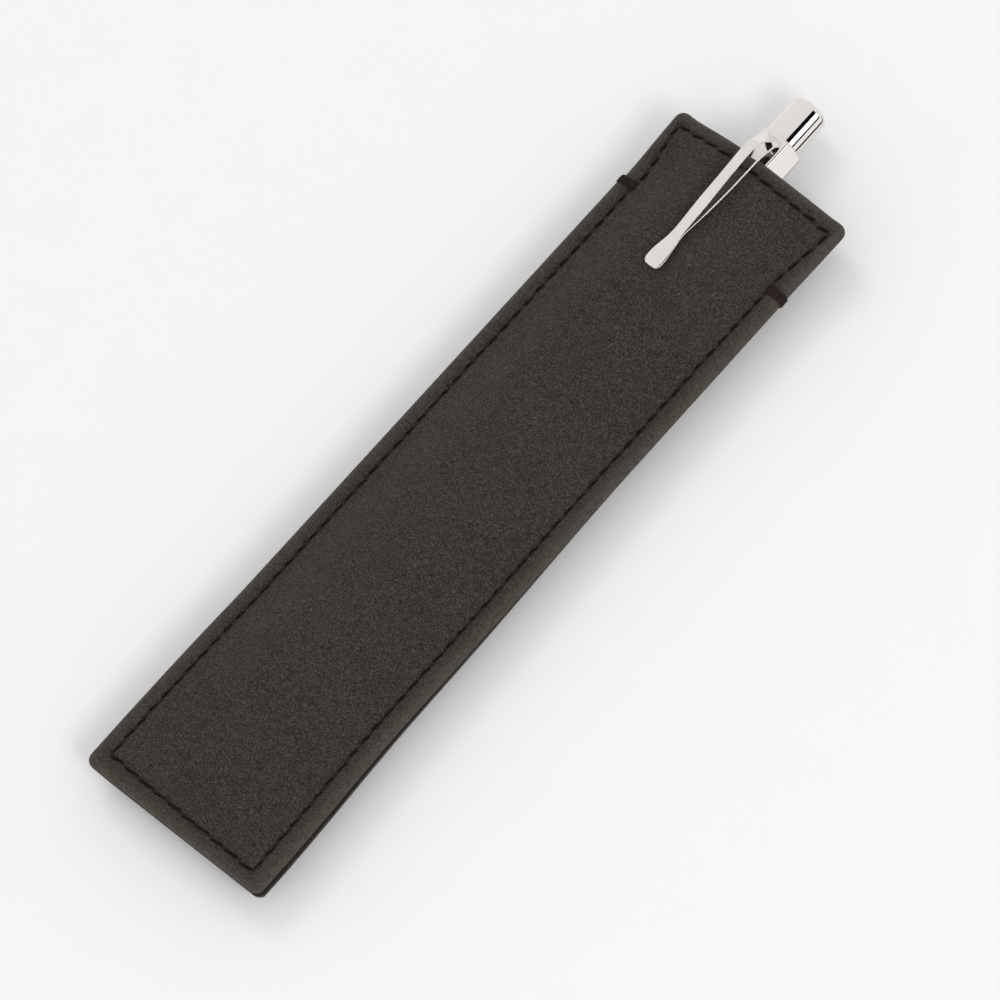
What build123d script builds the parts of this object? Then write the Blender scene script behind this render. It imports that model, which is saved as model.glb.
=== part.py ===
"""A slim leather pen case, lying on its back with its front panel up, and the push-button pen in it.

Drawn with the case's bottom edge at Y = 0, the mouth towards +Y and the front panel towards +Z, in
millimetres. Finished parts are shifted back by originY, so the origin is under the object's middle.
"""

from build123d import *

import math
import os

os.makedirs("parts", exist_ok=True)

# Case
caseWidth = 39.2
caseLength = 155.2
cornerRadius = 2.2
panelThickness = 2.0
leatherThickness = 0.8
boardThickness = 0.58
turnedEdge = 1.0  # leather wall at the panel's edge
layerGap = 0.02  # glue line between two layers
seamInset = 3.2  # stitch line to the side edge
bottomInset = 3.4
mouthInset = 2.8
tackSetback = 16.2  # bar tacks to the mouth
domeHalfWidth = 15.0  # the panels bend between these lines
domeGap = 4.95  # lining to mid plane, over the pen
domeFlat = 2.4  # half the width of the flat crest that bears on the pen
domeFullness = 1.6
mouthLift = 1.2  # the seam plane rises by this to the mouth's corners
mouthSpread = 0.4  # half the gap between the two linings at the mouth's corners
backEase = 0.46  # the back panel's crest lifts off the table by this under its mouth stitches
backEaseStart = 8.0  # from the mouth
backEaseLength = 4.0
seamGap = 0.05  # half the gap between the two linings at the seam
sidePull = 1.0  # how far the bent panels draw their side edges in
mouthRelief = 1.0  # the stitch lines come this much nearer to the edges at the mouth
backPull = 0.7  # how much further in the back panel's edges lie at the bar tacks

# Thread
stitchPitch = 3.15
stitchLength = 2.2
stitchWidth = 0.7
stitchHeight = 0.26
stitchLift = 0.14
tackWidth = 1.8
tackThickness = 0.5
tackClearance = 0.06
tackMargin = 0.3  # bar tack to the stitches beside it

# Pen, with lengths from its nose
penX = -2.0  # the pen lies left of the case's middle line
penLength = 128.0
penShows = 15.5  # button's end to the mouth
barrelAcross = 8.6
barrelShows = 6.6  # barrel's end to the mouth
barrelEdgeRadius = 0.8
barrelShoulder = 0.9
shoulderDrop = 0.15  # shoulder's end below the flats
noseLength = 17.0
noseRadius = 1.8
noseBelly = 3.8  # radius half way along the nose
tipBoreRadius = 1.3
springSeat = 5.0
seatHeight = 1.2
springChamberRadius = 2.35
springChamberEnd = 9.5
barrelBoreRadius = 3.2
wellDepth = 7.5  # counterbore that the button runs in
buttonRadius = 3.7
buttonWall = 0.5
buttonSkirt = 3.1  # length of button inside the barrel
buttonEndWall = 1.8
buttonEndRadius = 1.2
runningGap = 0.05
endGap = 0.3  # between pieces that move towards each other
neckRadius = 1.5
neckStart = 10.6
tipRadius = 1.15
tipMouthRadius = 0.5
tipCone = 4.5  # end of the tip's cone
ballRadius = 0.4
ballMiddle = 1.4
refillShoulder = 22.0
refillRadius = 2.9
collarHeight = 1.0
spigotLength = 3.0  # neck inside the tube
refillWall = 0.3
refillEnd = 92.0
plugRadius = 2.7
plugDepth = 4.0
plugHead = 2.5
plugStemRadius = 1.2
housingStart = 94.0
housingBoreRadius = 2.78
camRibs = 4
ribWidth = 0.8
ribLength = 5.0
rotorStart = 96.3
rotorEnd = 102.5
rotorRadius = 1.7
rotorFinReach = 2.25
rotorFinRoot = 1.25
rotorMargin = 1.0  # fins to either end of the rotor
plungerRadius = 2.1
camTeeth = 8
toothSize = 0.55
flangeHeight = 2.0
springRadius = 1.9
springWire = 0.18
springCoils = 8

# Clip, with heights above the pen's axis
clipWidth = 2.5
clipSheet = 0.5
clipRoot = 1.8  # root's middle to the barrel's end
clipRootLength = 1.5
clipBend = 5.3  # bend to the barrel's end
clipLength = 34.0  # tip to the barrel's end
clipBendHeight = 11.3
clipTipHeight = 8.3
clipClear = 0.6  # under the clip, over the leather
clipTipWidth = 3.4
clipFlare = 6.0
clipBendRadius = 1.8
clipWaist = 0.85  # share of the width where the flare starts
clipNib = 0.7  # share of the tip's width that is straight
clipTipRound = 1.5  # widest point of the tip to its end
clipLift = 0.1  # root over the barrel's flat, and tongue over the button's well
tongueWidth = 1.8
tongueGap = 0.15

# Places
midZ = domeGap + panelThickness  # mid plane of the case and axis of the pen
barrelEnd = penLength - penShows + barrelShows
noseY = caseLength + penShows - penLength
originY = (caseLength + penShows) / 2
tackY = caseLength - tackSetback
barrelHalf = barrelAcross / 2
wellFloor = barrelEnd - wellDepth
leatherTop = domeGap + panelThickness
penAxis = Axis((penX, 0, midZ), (0, 1, 0))
penPlane = Plane(origin=(penX, noseY, midZ))  # local x is the radius, local y the length
bodyStations = [-1, 3.4, 9, 14, 19, 24, 29, 34, 39, 43, 90, tackY]
stations = bodyStations + [141, 143, 145, 147.2, 149.2, 151.2, 153.2, caseLength + 1]
leftFlank = [-domeHalfWidth, -12.5, -9.5, -6.5, penX - domeFlat]
rightFlank = [penX + domeFlat, 4, 8, 12, domeHalfWidth]
sideStations = [0, 20, 45, 90, tackY, caseLength]


def smooth(t):
    t = min(max(t, 0), 1)
    return t * t * (3 - 2 * t)


def bell(x):
    """Rise of a bent panel at x: 1 over the pen, 0 where the panels meet."""
    reach = domeHalfWidth - penX if x > penX else domeHalfWidth + penX
    share = min(max(abs(x - penX) - domeFlat, 0) / (reach - domeFlat), 1)
    return (1 - share**2) ** domeFullness


def rise(y):
    """How far the panels are pushed apart at y, from 0 at the bottom seam to 1 along the pen."""
    return smooth((y - bottomInset) / (noseY - bottomInset))


def mouthShare(y):
    return smooth((y - tackY) / (caseLength - tackY))


def gapAt(x, y, side):
    """Distance from the mid plane to the lining of the front (side 1) or back (side -1) panel."""
    foot = seamGap + mouthShare(y) * (mouthSpread + side * mouthLift)
    ease = smooth((y - caseLength + backEaseStart) / backEaseLength) * backEase if side < 0 else 0
    return foot + (domeGap - ease - foot) * rise(y) * bell(x)


def edgeHalf(y, side=1):
    """Half the width of the front (side 1) or back (side -1) panel at y."""
    return caseWidth / 2 - sidePull * rise(y) - (backPull * smooth(y / tackY) if side < 0 else 0)


def seamX(y):
    """Half the distance between the side stitch lines at y."""
    return edgeHalf(y) - seamInset + mouthRelief * mouthShare(y)


def place(part, label):
    """Shifts a finished piece to the object's frame, names it and writes it."""
    moved = part.moved(Location((0, -originY, 0)))
    moved.label = label
    export_step(moved, f"parts/{label}.step")


def outlineBlock(side, inset):
    """A panel's outline less inset, as a tall block with rounded corners."""
    right = [(edgeHalf(y, side) - inset, y) for y in sideStations]
    right[0] = (right[0][0], inset)
    right[-1] = (right[-1][0], caseLength - inset)
    left = [(-x, y) for x, y in right]
    with BuildPart() as block:
        with BuildSketch(Plane.XY):
            with BuildLine():
                Spline(*right)
                Spline(*left)
                Line(left[0], right[0])
                Line(left[-1], right[-1])
            make_face()
        extrude(amount=2 * midZ)
        fillet(block.edges().filter_by(Axis.Z), cornerRadius - inset)
    return block.part


def bentSheet(side, low, high, inset):
    """A layer of the front (side 1) or back (side -1) panel, from low to high above the lining's face."""
    reach = caseWidth / 2 + 1
    with BuildPart() as sheet:
        for y in stations:
            with BuildSketch(Plane(origin=(0, y, 0), x_dir=(1, 0, 0), z_dir=(0, -1, 0))):
                with BuildLine():
                    ends = []
                    for level in (low, high):
                        left = [(x, midZ + side * (gapAt(x, y, side) + level)) for x in leftFlank]
                        right = [(x, midZ + side * (gapAt(x, y, side) + level)) for x in rightFlank]
                        Line((-reach, left[0][1]), left[0])
                        Spline(*left, tangents=((1, 0), (1, 0)))
                        Line(left[-1], right[0])
                        Spline(*right, tangents=((1, 0), (1, 0)))
                        Line(right[-1], (reach, right[-1][1]))
                        ends.append(left[0][1])
                    Line((-reach, ends[0]), (-reach, ends[1]))
                    Line((reach, ends[0]), (reach, ends[1]))
                make_face()
        loft(ruled=True)
        add(outlineBlock(side, inset), mode=Mode.INTERSECT)
    return sheet.part


# The two panels: leather turned over a board, and a lining that covers the board
coreTop = panelThickness - leatherThickness
boardLow = coreTop - layerGap - boardThickness
for side, name in ((1, "front"), (-1, "back")):
    with BuildPart() as leather:
        add(bentSheet(side, 0, panelThickness, 0))
        add(bentSheet(side, -1, coreTop, turnedEdge), mode=Mode.SUBTRACT)
    place(leather.part, f"{name}_leather")
    place(bentSheet(side, boardLow, coreTop - layerGap, turnedEdge + layerGap), f"{name}_stiffener")
    place(bentSheet(side, 0, boardLow - layerGap, turnedEdge + layerGap), f"{name}_lining")


def stitchRow(start, end):
    """Middle and direction of each stitch along a straight row."""
    length = math.dist(start, end)
    count = round(length / stitchPitch)
    ahead = ((end[0] - start[0]) / length, (end[1] - start[1]) / length)
    steps = [(k + 0.5) / count * length for k in range(count)]
    return [(start[0] + ahead[0] * s, start[1] + ahead[1] * s, ahead) for s in steps]


def sideRow(side, low, high):
    """Stitches along a side."""
    count = round((high - low) / stitchPitch)
    places = [low + (k + 0.5) / count * (high - low) for k in range(count)]
    return [(side * seamX(y), y, (0, 1)) for y in places]


def stitches(spots, side):
    """One small block of thread for each stitch, on the outer face of a panel."""
    reach = stitchLength / 4
    with BuildPart() as thread:
        for x, y, (aheadX, aheadY) in spots:
            before = gapAt(x - reach * aheadX, y - reach * aheadY, side)
            after = gapAt(x + reach * aheadX, y + reach * aheadY, side)
            ahead = Vector(aheadX, aheadY, side * (after - before) / (2 * reach))
            up = ahead.cross(Vector(-aheadY, aheadX, 0)) * side
            level = midZ + side * (gapAt(x, y, side) + panelThickness)
            plane = Plane(origin=(x, y, level), x_dir=ahead, z_dir=up)
            with BuildSketch(plane.offset(stitchLift)):
                SlotOverall(stitchLength, stitchWidth)
            extrude(amount=stitchHeight)
    return thread.part


cornerX = seamX(0)
mouthX = seamX(caseLength)
mouthY = caseLength - mouthInset
rowGap = tackWidth / 2 + tackMargin  # rows stop short of the bar tacks
seam = stitchRow((-cornerX, bottomInset), (cornerX, bottomInset))
mouth = stitchRow((-mouthX, mouthY), (mouthX, mouthY))
for side in (-1, 1):
    seam += sideRow(side, bottomInset, tackY - rowGap)
    mouth += sideRow(side, tackY + rowGap, mouthY)
with BuildPart() as seamStitches:
    add(stitches(seam, 1))
    add(stitches(seam, -1))
place(seamStitches.part, "seam_stitches")
place(stitches(mouth, 1), "front_mouth_stitches")
place(stitches(mouth, -1), "back_mouth_stitches")

# Bar tacks: thread wound over the side edge, a channel that opens towards the pen
for side, name in ((-1, "left"), (1, "right")):
    inner = panelThickness + seamGap + tackClearance
    outside = edgeHalf(tackY) + tackClearance + tackThickness
    depth = seamInset + tackClearance + tackThickness + stitchWidth / 2
    with BuildPart() as tack:
        with BuildSketch(Plane(origin=(side * outside, tackY, midZ), x_dir=(-side, 0, 0), z_dir=(0, side, 0))):
            with Locations((depth / 2, 0)):
                Rectangle(depth, 2 * (inner + tackThickness))
            with Locations((depth / 2 + tackThickness, 0)):
                Rectangle(depth, 2 * inner, mode=Mode.SUBTRACT)
        extrude(amount=tackWidth / 2, both=True)
    place(tack.part, f"bar_tack_{name}")


def across(y):
    """Plane across the pen at y from its nose."""
    return Plane(origin=(penX, noseY + y, midZ), x_dir=(1, 0, 0), z_dir=(0, 1, 0))


def turned(*profile):
    """A turned piece of the pen from (radius, length) corners."""
    with BuildPart() as piece:
        with BuildSketch(penPlane):
            with BuildLine():
                Polyline(*profile, close=True)
            make_face()
        revolve(axis=penAxis)
    return piece.part


# Barrel: a six-sided tube with a flat on top, a turned nose, and a slot for the clip's tongue
rootMiddle = barrelEnd - clipRoot
widest = barrelHalf + 1
with BuildPart() as barrel:
    with BuildSketch(across(0)):
        RegularPolygon(barrelHalf, 6, major_radius=False)
    extrude(amount=barrelEnd)
    fillet(barrel.edges().filter_by(Axis.Y), barrelEdgeRadius)
    with BuildSketch(penPlane):
        with BuildLine():
            ThreePointArc((noseRadius, 0), (noseBelly, noseLength / 2), (widest, noseLength))
            shoulderStart = (widest, barrelEnd - barrelShoulder)
            Polyline((widest, noseLength), shoulderStart, (barrelHalf - shoulderDrop, barrelEnd), (0, barrelEnd), (0, 0))
            Line((0, 0), (noseRadius, 0))
        make_face()
    revolve(axis=penAxis, mode=Mode.INTERSECT)
    wellRadius = buttonRadius + runningGap
    bore = turned(
        (0, -1),
        (tipBoreRadius, -1),
        (tipBoreRadius, springSeat),
        (springChamberRadius, springSeat),
        (springChamberRadius, springChamberEnd),
        (barrelBoreRadius, springChamberEnd),
        (barrelBoreRadius, wellFloor),
        (wellRadius, wellFloor),
        (wellRadius, barrelEnd + 1),
        (0, barrelEnd + 1),
    )
    add(bore, mode=Mode.SUBTRACT)
    with BuildSketch(Plane(origin=(penX, noseY + rootMiddle, midZ))):
        Rectangle(tongueWidth + 2 * tongueGap, clipRootLength + 2 * tongueGap)
    extrude(amount=barrelAcross, mode=Mode.SUBTRACT)
place(barrel.part, "pen_barrel")

# Seat for the spring, inside the nose
seatTop = springSeat + seatHeight
seatOuter = springChamberRadius - runningGap
seatInner = tipBoreRadius + runningGap
seat = turned(
    (seatInner, springSeat + layerGap),
    (seatOuter, springSeat + layerGap),
    (seatOuter, seatTop),
    (seatInner, seatTop),
)
place(seat, "nose_bush")

# Housing of the click mechanism, with ribs that the cam runs between
housingRadius = barrelBoreRadius - layerGap
with BuildPart() as housing:
    with BuildSketch(across(housingStart)):
        Circle(housingRadius)
        Circle(housingBoreRadius, mode=Mode.SUBTRACT)
    extrude(amount=wellFloor - layerGap - housingStart)
    ribInner = rotorFinReach + 2 * runningGap
    ribOuter = housingRadius - 2 * runningGap
    with BuildSketch(across(rotorEnd + 1)):
        with PolarLocations((ribInner + ribOuter) / 2, camRibs):
            Rectangle(ribOuter - ribInner, ribWidth)
    extrude(amount=ribLength)
place(housing.part, "mechanism_housing")

# Refill: ball, turned tip, neck with a shoulder for the spring, ink tube and end plug
tipStart = ballMiddle + ballRadius + layerGap
with BuildPart() as ball:
    with Locations(across(ballMiddle)):
        Sphere(ballRadius)
place(ball.part, "writing_ball")
tip = turned(
    (0, tipStart),
    (tipMouthRadius, tipStart),
    (tipRadius, tipCone),
    (tipRadius, neckStart),
    (0, neckStart),
)
place(tip, "refill_tip")
spigot = refillRadius - refillWall - layerGap
neck = turned(
    (0, neckStart + layerGap),
    (neckRadius, neckStart + layerGap),
    (neckRadius, refillShoulder),
    (refillRadius, refillShoulder),
    (refillRadius, refillShoulder + collarHeight),
    (spigot, refillShoulder + collarHeight),
    (spigot, refillShoulder + collarHeight + spigotLength),
    (0, refillShoulder + collarHeight + spigotLength),
)
place(neck, "refill_neck")
tube = turned(
    (refillRadius - refillWall, refillShoulder + collarHeight + layerGap),
    (refillRadius, refillShoulder + collarHeight + layerGap),
    (refillRadius, refillEnd),
    (refillRadius - refillWall, refillEnd),
)
place(tube, "refill_tube")
plug = turned(
    (0, refillEnd - plugDepth),
    (spigot, refillEnd - plugDepth),
    (spigot, refillEnd + layerGap),
    (plugRadius, refillEnd + layerGap),
    (plugRadius, refillEnd + plugHead),
    (plugStemRadius, refillEnd + plugHead),
    (plugStemRadius, rotorStart - endGap),
    (0, rotorStart - endGap),
)
place(plug, "refill_plug")

# Turning cam, with fins that ride between the housing's ribs
with BuildPart() as rotor:
    with BuildSketch(across(rotorStart)):
        Circle(rotorRadius)
    extrude(amount=rotorEnd - rotorStart)
    with BuildSketch(across(rotorStart + rotorMargin)):
        with PolarLocations((rotorFinReach + rotorFinRoot) / 2, camRibs, start_angle=45):
            Rectangle(rotorFinReach - rotorFinRoot, ribWidth)
    extrude(amount=rotorEnd - rotorStart - 2 * rotorMargin)
place(rotor.part, "cam_rotor")

# Plunger: a pusher with saw teeth on its lower end and a flange inside the button
plungerStart = rotorEnd + endGap
plungerEnd = penLength - buttonEndWall - layerGap
buttonBore = buttonRadius - buttonWall
flangeRadius = buttonBore - layerGap
with BuildPart() as plunger:
    with BuildSketch(across(plungerStart)):
        Circle(plungerRadius)
    extrude(amount=plungerEnd - plungerStart)
    with BuildSketch(across(plungerEnd - flangeHeight)):
        Circle(flangeRadius)
    extrude(amount=flangeHeight)
    with Locations(across(plungerStart)):
        with PolarLocations(0, camTeeth):
            Box(2 * plungerRadius, toothSize, toothSize, rotation=(45, 0, 0), mode=Mode.SUBTRACT)
place(plunger.part, "plunger")

# Push button: a deep cap with a rounded end
buttonStart = barrelEnd - buttonSkirt
with BuildPart() as button:
    with BuildSketch(across(buttonStart)):
        Circle(buttonRadius)
    extrude(amount=penLength - buttonStart)
    fillet(button.faces().sort_by(Axis.Y)[-1].edges(), buttonEndRadius)
    with BuildSketch(across(buttonStart)):
        Circle(buttonBore)
    extrude(amount=penLength - buttonEndWall - buttonStart, mode=Mode.SUBTRACT)
place(button.part, "push_button")

# Return spring, between the nose bush and the refill's shoulder
springLow = seatTop + springWire + runningGap
springHigh = refillShoulder - springWire - runningGap
springHeight = springHigh - springLow
with BuildPart() as spring:
    with BuildLine() as coil:
        foot = (penX, noseY + springLow, midZ)
        Helix(springHeight / springCoils, springHeight, springRadius, center=foot, direction=(0, 1, 0))
    with BuildSketch(Plane(origin=coil.line @ 0, z_dir=coil.line % 0)):
        Circle(springWire)
    sweep(is_frenet=True)
place(spring.part, "return_spring")

# Clip: one sheet folded to a channel, with a flared tip, a wall down to the barrel and a tongue in its slot
tipY = barrelEnd - clipLength
bendY = barrelEnd - clipBend
clipLow = leatherTop + clipClear
rootHigh = barrelEnd - clipRoot + clipRootLength / 2
rootLow = rootHigh - clipRootLength
mouthFromNose = caseLength - noseY
flat = barrelHalf + clipLift
bendWall = 1.6 * clipSheet  # the sloped sheet at the bend, measured upright
rootWall = 1.4 * clipSheet  # the wall at the root, measured along the pen
sidePlane = Plane(origin=(penX, noseY, midZ), x_dir=(0, 1, 0), z_dir=(1, 0, 0))
with BuildPart() as clip:
    with BuildSketch(sidePlane):
        with BuildLine():
            Polyline(
                (tipY, clipLow),
                (tipY, clipTipHeight),
                (tipY + clipFlare, clipTipHeight),
                (bendY, clipBendHeight),
                (rootHigh, flat),
                (rootLow, flat),
                (mouthFromNose + clipClear, clipLow),
                close=True,
            )
        make_face()
    extrude(amount=clipTipWidth, both=True)
    fillet(clip.edges().filter_by(Axis.X).group_by(Axis.Z)[-1], clipBendRadius)
    with BuildSketch(Plane(origin=(penX, noseY, midZ))):
        with BuildLine():
            half = clipWidth / 2
            tipHalf = clipTipWidth / 2
            waist = half * clipWaist
            Polyline((-half, rootHigh + 1), (half, rootHigh + 1), (half, bendY), (waist, tipY + 2 * clipFlare))
            Line((-half, rootHigh + 1), (-half, bendY))
            Line((-half, bendY), (-waist, tipY + 2 * clipFlare))
            for s in (-1, 1):
                Spline(
                    (s * waist, tipY + 2 * clipFlare),
                    (s * tipHalf, tipY + clipTipRound),
                    (s * tipHalf * clipNib, tipY),
                    tangents=((0, -1), (-s, -1)),
                )
            Line((-tipHalf * clipNib, tipY), (tipHalf * clipNib, tipY))
        make_face()
    extrude(amount=clipBendHeight + 1, mode=Mode.INTERSECT)
    with BuildSketch(sidePlane):
        with BuildLine():
            lift = (clipBendHeight - clipTipHeight) / (bendY - tipY - clipFlare)
            hollowLow = tipY + clipFlare + 1
            Polyline(
                (hollowLow, clipLow - 1),
                (hollowLow, clipTipHeight - clipSheet + lift),
                (bendY - clipSheet, clipBendHeight - bendWall),
                (rootHigh - rootWall, flat + clipSheet + tongueGap),
                (rootHigh - rootWall, flat + clipSheet),
                (rootLow - 1, flat + clipSheet),
                (rootLow - 1, clipLow - 1),
                close=True,
            )
        make_face()
    extrude(amount=clipWidth / 2 - clipSheet, both=True, mode=Mode.SUBTRACT)
    with BuildSketch(Plane(origin=(penX, noseY + rootMiddle, midZ + flat + clipSheet / 2))):
        Rectangle(tongueWidth, clipRootLength)
    extrude(amount=-(flat + clipSheet / 2 - wellRadius - clipLift))
place(clip.part, "clip")
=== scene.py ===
import bmesh
import bpy
import math
import numpy as np
from mathutils import Matrix, Vector


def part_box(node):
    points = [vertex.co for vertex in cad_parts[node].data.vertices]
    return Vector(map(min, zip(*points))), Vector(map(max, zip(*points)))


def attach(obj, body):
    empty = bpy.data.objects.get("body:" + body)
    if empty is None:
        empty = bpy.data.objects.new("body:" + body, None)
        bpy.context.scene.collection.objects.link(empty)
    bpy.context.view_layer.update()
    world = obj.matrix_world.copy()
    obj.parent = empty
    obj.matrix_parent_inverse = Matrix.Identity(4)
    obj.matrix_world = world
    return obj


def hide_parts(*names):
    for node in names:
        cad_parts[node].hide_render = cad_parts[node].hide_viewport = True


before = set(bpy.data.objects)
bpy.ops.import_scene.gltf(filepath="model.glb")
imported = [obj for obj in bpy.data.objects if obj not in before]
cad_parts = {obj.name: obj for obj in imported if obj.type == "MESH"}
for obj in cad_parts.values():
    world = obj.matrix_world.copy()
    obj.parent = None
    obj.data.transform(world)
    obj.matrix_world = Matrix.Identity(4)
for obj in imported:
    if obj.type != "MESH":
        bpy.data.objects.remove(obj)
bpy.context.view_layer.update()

mm = 0.001
rng = np.random.default_rng(8)


# Shared tools: meshes from arrays

def meshPiece(name, points, faces, material):
    mesh = bpy.data.meshes.new(name)
    mesh.from_pydata([tuple(p) for p in points], [], faces)
    mesh.validate()
    mesh.materials.append(material)
    mesh.polygons.foreach_set("use_smooth", [True] * len(mesh.polygons))
    piece = bpy.data.objects.new(name, mesh)
    bpy.context.scene.collection.objects.link(piece)
    return piece


def gridFaces(rows, columns, closed=False):
    faces = []
    wide = columns if closed else columns - 1
    for r in range(rows - 1):
        for c in range(wide):
            d = (c + 1) % columns
            faces.append((r * columns + c, r * columns + d, (r + 1) * columns + d, (r + 1) * columns + c))
    return faces


def tube(path, radius, sides):
    # a tube with closed ends along a list of points
    path = np.array(path, float)
    ahead = np.gradient(path, axis=0)
    ahead /= np.linalg.norm(ahead, axis=1)[:, None]
    side = np.cross(ahead[0], (0.2, 0.9, 0.3))
    points = []
    for p, a in zip(path, ahead):
        side = side - a * np.dot(side, a)
        side /= np.linalg.norm(side)
        up = np.cross(a, side)
        for k in range(sides):
            t = 2 * math.pi * k / sides
            points.append(p + radius * (math.cos(t) * side + math.sin(t) * up))
    faces = gridFaces(len(path), sides, closed=True)
    points += [path[0], path[-1]]
    last = len(points) - 1
    for k in range(sides):
        n = (k + 1) % sides
        faces.append((last - 1, n, k))
        faces.append((last, (len(path) - 1) * sides + k, (len(path) - 1) * sides + n))
    return points, faces


def joined(parts):
    points, faces = [], []
    for p, f in parts:
        start = len(points)
        points += list(p)
        faces += [tuple(i + start for i in face) for face in f]
    return points, faces


def fixNormals(piece):
    work = bmesh.new()
    work.from_mesh(piece.data)
    bmesh.ops.recalc_face_normals(work, faces=work.faces)
    work.to_mesh(piece.data)
    work.free()


# Shader tools

class Wire:
    def __init__(self, bench, socket):
        self.bench, self.socket = bench, socket

    def maths(self, operation, other):
        return self.bench.node("ShaderNodeMath", {"operation": operation}, {0: self, 1: other})

    def __add__(self, other):
        return self.maths("ADD", other)

    def __mul__(self, other):
        return self.maths("MULTIPLY", other)

    __radd__ = __add__
    __rmul__ = __mul__


class Bench:
    def __init__(self, name):
        self.material = bpy.data.materials.new(name)
        self.material.use_nodes = True
        self.tree = self.material.node_tree
        self.tree.nodes.clear()

    def node(self, kind, settings=None, inputs=None, out=0):
        made = self.tree.nodes.new(kind)
        for key, value in (settings or {}).items():
            setattr(made, key, value)
        for key, value in (inputs or {}).items():
            if isinstance(value, Wire):
                self.tree.links.new(value.socket, made.inputs[key])
            else:
                made.inputs[key].default_value = value
        return Wire(self, made.outputs[out]) if len(made.outputs) else made

    def place(self):
        return self.node("ShaderNodeTexCoord", out="Object")

    def noise(self, scale, detail=2.0, roughness=0.5, place=None):
        # place is where the pattern is read, by default the piece's own coordinates
        values = {"Vector": place or self.place(), "Scale": scale, "Detail": detail, "Roughness": roughness}
        return self.node("ShaderNodeTexNoise", {}, values, "Fac")

    def ramp(self, value, low, high):
        # low goes to 0 and high to 1; low may be the larger one
        return self.node("ShaderNodeMapRange", {"clamp": True}, {0: value, 1: low, 2: high})

    def blend(self, amount, first, second):
        values = {"Factor": amount, 6: first, 7: second}
        return self.node("ShaderNodeMix", {"data_type": "RGBA"}, values, 2)

    def attribute(self, name):
        return self.node("ShaderNodeAttribute", {"attribute_name": name}, {}, "Fac")

    def bump(self, height, strength, distance):
        return self.node("ShaderNodeBump", {}, {"Height": height, "Strength": strength, "Distance": distance})

    def finish(self, values):
        shader = self.node("ShaderNodeBsdfPrincipled", {}, values)
        self.node("ShaderNodeOutputMaterial", {}, {"Surface": shader})
        return self.material


def srgb(r, g, b):
    return tuple(((c / 255 + 0.055) / 1.055) ** 2.4 if c > 10 else c / 3295 for c in (r, g, b)) + (1.0,)


# Materials

def nubuckMaterial(name):
    b = Bench(name)
    patches = b.ramp(b.noise(42, 3, 0.6), 0.40, 0.62)
    clouds = b.ramp(b.noise(130, 4, 0.6), 0.30, 0.72)
    colour = b.blend(patches, srgb(49, 45, 43), srgb(44, 42, 36))
    colour = b.blend(clouds * 0.5, colour, srgb(38, 35, 34))
    mottle = b.ramp(b.noise(760, 3, 0.6), 0.36, 0.66)
    colour = b.blend(mottle * 0.42, colour, srgb(66, 61, 57))
    fibre = b.noise(3300, 3, 0.7)
    colour = b.blend(b.ramp(fibre, 0.50, 0.70) * 0.66, colour, srgb(92, 87, 82))
    colour = b.blend(b.ramp(fibre, 0.50, 0.30) * 0.76, colour, srgb(16, 14, 13))
    specks = b.ramp(b.noise(1500, 1, 0.4), 0.76, 0.80)
    colour = b.blend(specks * 0.35, colour, srgb(104, 99, 92))
    # painted shade: darkens the sunk stitch line, its holes and the creases at the bar tacks
    colour = b.blend(b.attribute("painted_groove_shade") * 0.85, colour, srgb(14, 12, 11))
    wear = b.attribute("rim") * b.ramp(b.noise(900, 3, 0.7), 0.20, 0.66)
    colour = b.blend(wear * 0.62, colour, srgb(86, 80, 71))
    # painted shade where the two panels meet at the seam, and on the panel undersides
    colour = b.blend(b.attribute("painted_seam_shade") * 0.7, colour, srgb(18, 16, 15))
    nap = b.noise(5200, 2, 0.6)
    height = nap * 0.3 + fibre * 0.6 + mottle * 0.5
    return b.finish({
        "Base Color": colour,
        "Roughness": 0.88 + fibre * 0.10,
        "Specular IOR Level": 0.12,
        "Sheen Weight": 0.10,
        "Sheen Roughness": 0.5,
        "Sheen Tint": (0.80, 0.76, 0.72, 1),
        "Normal": b.bump(height, 0.6, 0.00024),
    })


def liningMaterial():
    b = Bench("lining")
    weave = b.noise(2600, 2, 0.6)
    colour = b.blend(b.noise(180, 3), srgb(47, 43, 41), srgb(60, 55, 51))
    return b.finish({
        "Base Color": b.blend(weave * 0.4, colour, srgb(78, 72, 68)),
        "Roughness": 0.93,
        "Specular IOR Level": 0.2,
        "Sheen Weight": 0.3,
        "Normal": b.bump(weave, 0.5, 0.0001),
    })


def threadMaterial(name, dark, light):
    b = Bench(name)
    ply = b.noise(2300, 2, 0.6)
    return b.finish({
        "Base Color": b.blend(b.ramp(ply, 0.35, 0.70), srgb(*dark), srgb(*light)),
        "Roughness": 0.72 + ply * 0.2,
        "Specular IOR Level": 0.12,
        "Normal": b.bump(ply, 0.4, 0.00006),
    })


def polishedMaterial(name, tint, roughness, smear):
    b = Bench(name)
    haze = b.ramp(b.noise(240, 3, 0.6), 0.35, 0.75)
    fine = b.noise(5200, 2, 0.6)
    return b.finish({
        "Base Color": b.blend(haze, srgb(*tint), srgb(*(c - 6 for c in tint))),
        "Metallic": 1.0,
        "Roughness": roughness + haze * smear,
        "Normal": b.bump(fine, 0.02, 0.00001),
    })


def brushedMaterial(name, tint, roughness):
    b = Bench(name)
    stretch = b.node("ShaderNodeMapping", {}, {"Vector": b.place(), "Scale": (1, 0.06, 1)})
    lines = b.noise(5000, 3, 0.7, stretch)
    dull = b.noise(300, 3, 0.6)
    return b.finish({
        "Base Color": b.blend(dull, srgb(*tint), srgb(*(int(c * 0.82) for c in tint))),
        "Metallic": 1.0,
        "Roughness": roughness + lines * 0.15,
        "Normal": b.bump(lines, 0.12, 0.00003),
    })


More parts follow.
